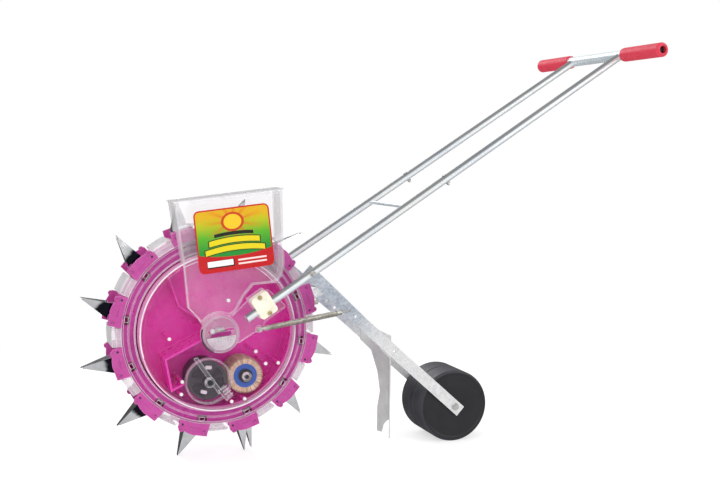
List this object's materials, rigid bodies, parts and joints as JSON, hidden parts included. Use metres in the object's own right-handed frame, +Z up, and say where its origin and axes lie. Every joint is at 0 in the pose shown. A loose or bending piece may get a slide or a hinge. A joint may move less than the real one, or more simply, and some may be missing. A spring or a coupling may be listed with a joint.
{
  "type": "push seeder",
  "caption": "Hand-pushed drum seeder with opening beaks round a magenta wheel, a clear seed hopper, a long twin-tube handle, covering blades and a press wheel.",
  "frame": {"origin": "middle of the overall box on the ground, midway between the drum's foremost beaks and the handle grips", "axes": "+X to the rear (handle side), +Y to the machine's right as seen by the person pushing it forwards, +Z up"},
  "size_m": [1.1582, 0.518, 0.8519],
  "materials": {
    "magenta_plastic": "glossy moulded ABS",
    "clear_plastic": "clear polycarbonate",
    "stainless_sheet": "bright folded stainless sheet",
    "zinc_tube": "bright zinc-plated tube",
    "galvanised_strip": "galvanised flat strip",
    "steel_fastener": "zinc-plated fasteners",
    "spring_steel": "dull plated spring wire",
    "cream_plastic": "moulded nylon",
    "red_grip": "soft PVC",
    "black_plastic": "blow-moulded polyethylene",
    "dark_plastic": "dark nylon",
    "white_plastic": "acetal bush",
    "bristle": "natural fibre bristle",
    "blue_plastic": "moulded core",
    "printed_label": "printed film"
  },
  "bodies": {
    "frame": {"axle": "steel_fastener", "axle_nuts": "steel_fastener", "inner_shell": "magenta_plastic", "front_cover": "clear_plastic", "hopper": "clear_plastic", "hopper_label": "printed_label", "hub_cap": "clear_plastic", "arm_boss_near": "clear_plastic", "arm_boss_far": "clear_plastic", "tube_near": "zinc_tube", "tube_far": "zinc_tube", "upper_tube_near": "zinc_tube", "upper_tube_far": "zinc_tube", "tie_bar": "zinc_tube", "handlebar": "zinc_tube", "grip_near": "red_grip", "grip_far": "red_grip", "tube_clamps": "cream_plastic", "clamp_screws": "steel_fastener", "cover_screws": "steel_fastener", "spring_anchors": "steel_fastener", "tube_bolts": "steel_fastener", "roller_cup": "clear_plastic", "pivot_bolts": "steel_fastener", "tension_springs": "spring_steel"},
    "drum": {"pocket_ring": "magenta_plastic", "near_ring": "clear_plastic", "drum_disc": "magenta_plastic", "ring_gear": "magenta_plastic", "drum_bearing": "white_plastic", "spacers": "clear_plastic", "seats": "magenta_plastic", "fixed_beaks": "stainless_sheet", "hinge_pins": "steel_fastener"},
    "roller": {"seed_roller": "dark_plastic", "roller_gear": "dark_plastic"},
    "brush": {"brush_bristles": "bristle", "brush_hub": "blue_plastic", "brush_gear": "dark_plastic"},
    "press_frame": {"leg_near": "galvanised_strip", "leg_far": "galvanised_strip", "coverer_near": "galvanised_strip", "coverer_far": "galvanised_strip", "wheel_axle": "steel_fastener"},
    "press_wheel": {"wheel_half_near": "black_plastic", "wheel_half_far": "black_plastic"},
    "lid": {"hopper_lid": "clear_plastic"},
    "latch": {"latch_lever": "clear_plastic"},
    "flap_01": {"flap_01": "stainless_sheet"},
    "flap_02": {"flap_02": "stainless_sheet"},
    "flap_03": {"flap_03": "stainless_sheet"},
    "flap_04": {"flap_04": "stainless_sheet"},
    "flap_05": {"flap_05": "stainless_sheet"},
    "flap_06": {"flap_06": "stainless_sheet"},
    "flap_07": {"flap_07": "stainless_sheet"},
    "flap_08": {"flap_08": "stainless_sheet"},
    "flap_09": {"flap_09": "stainless_sheet"},
    "flap_10": {"flap_10": "stainless_sheet"},
    "flap_11": {"flap_11": "stainless_sheet"},
    "flap_12": {"flap_12": "stainless_sheet"}
  },
  "joints": [
    {"name": "drum_spin", "type": "hinge", "parent": "frame", "child": "drum", "pos_m": [-0.3183, 0, 0.2608], "axis": [0, 1, 0], "continuous": true},
    {"name": "roller_spin", "type": "hinge", "parent": "frame", "child": "roller", "pos_m": [-0.33829, 0, 0.16384], "axis": [0, 1, 0], "continuous": true},
    {"name": "brush_spin", "type": "hinge", "parent": "frame", "child": "brush", "pos_m": [-0.26107, 0, 0.16921], "axis": [0, 1, 0], "continuous": true},
    {"name": "press_frame_swing", "type": "hinge", "parent": "frame", "child": "press_frame", "pos_m": [-0.1395, 0, 0.3784], "axis": [0, 1, 0], "range_deg": [-12, 10], "stiffness_Nm_per_rad": 120, "springref_deg": 4.43, "deforming": ["tension_springs"]},
    {"name": "press_wheel_spin", "type": "hinge", "parent": "press_frame", "child": "press_wheel", "pos_m": [0.2007, 0, 0.077], "axis": [0, 1, 0], "continuous": true},
    {"name": "lid_open", "type": "hinge", "parent": "frame", "child": "lid", "pos_m": [-0.30311, -0.0225, 0.53316], "axis": [-0.9931, 0, -0.1172], "range_deg": [0, 110]},
    {"name": "latch_turn", "type": "hinge", "parent": "frame", "child": "latch", "pos_m": [-0.33829, -0.085, 0.16384], "axis": [0, -1, 0], "range_deg": [0, 70]},
    {"name": "flap_01_open", "type": "hinge", "parent": "drum", "child": "flap_01", "pos_m": [-0.48094, 0, 0.38949], "axis": [0, -1, 0], "range_deg": [0, 25], "stiffness_Nm_per_rad": 0.3, "springref_deg": -20.05},
    {"name": "flap_02_open", "type": "hinge", "parent": "drum", "child": "flap_02", "pos_m": [-0.52349, 0, 0.29093], "axis": [0, -1, 0], "range_deg": [0, 25], "stiffness_Nm_per_rad": 0.3, "springref_deg": -20.05},
    {"name": "flap_03_open", "type": "hinge", "parent": "drum", "child": "flap_03", "pos_m": [-0.51107, 0, 0.1843], "axis": [0, -1, 0], "range_deg": [0, 25], "stiffness_Nm_per_rad": 0.3, "springref_deg": -20.05},
    {"name": "flap_04_open", "type": "hinge", "parent": "drum", "child": "flap_04", "pos_m": [-0.44699, 0, 0.09817], "axis": [0, -1, 0], "range_deg": [0, 25], "stiffness_Nm_per_rad": 0.3, "springref_deg": -20.05},
    {"name": "flap_05_open", "type": "hinge", "parent": "drum", "child": "flap_05", "pos_m": [-0.34843, 0, 0.05561], "axis": [0, -1, 0], "range_deg": [0, 25], "stiffness_Nm_per_rad": 0.3, "springref_deg": -20.05},
    {"name": "flap_06_open", "type": "hinge", "parent": "drum", "child": "flap_06", "pos_m": [-0.2418, 0, 0.06803], "axis": [0, -1, 0], "range_deg": [-12, 13], "stiffness_Nm_per_rad": 0.3},
    {"name": "flap_07_open", "type": "hinge", "parent": "drum", "child": "flap_07", "pos_m": [-0.15566, 0, 0.13211], "axis": [0, -1, 0], "range_deg": [0, 25], "stiffness_Nm_per_rad": 0.3, "springref_deg": -20.05},
    {"name": "flap_08_open", "type": "hinge", "parent": "drum", "child": "flap_08", "pos_m": [-0.11311, 0, 0.23067], "axis": [0, -1, 0], "range_deg": [0, 25], "stiffness_Nm_per_rad": 0.3, "springref_deg": -20.05},
    {"name": "flap_09_open", "type": "hinge", "parent": "drum", "child": "flap_09", "pos_m": [-0.12553, 0, 0.3373], "axis": [0, -1, 0], "range_deg": [0, 25], "stiffness_Nm_per_rad": 0.3, "springref_deg": -20.05},
    {"name": "flap_10_open", "type": "hinge", "parent": "drum", "child": "flap_10", "pos_m": [-0.18961, 0, 0.42344], "axis": [0, -1, 0], "range_deg": [0, 25], "stiffness_Nm_per_rad": 0.3, "springref_deg": -20.05},
    {"name": "flap_11_open", "type": "hinge", "parent": "drum", "child": "flap_11", "pos_m": [-0.28817, 0, 0.46599], "axis": [0, -1, 0], "range_deg": [0, 25], "stiffness_Nm_per_rad": 0.3, "springref_deg": -20.05},
    {"name": "flap_12_open", "type": "hinge", "parent": "drum", "child": "flap_12", "pos_m": [-0.3948, 0, 0.45357], "axis": [0, -1, 0], "range_deg": [0, 25], "stiffness_Nm_per_rad": 0.3, "springref_deg": -20.05}
  ],
  "couplings": [
    {"joint": "roller_spin", "follows": "drum_spin", "ratio": 3},
    {"joint": "brush_spin", "follows": "drum_spin", "ratio": 3.6667}
  ]
}
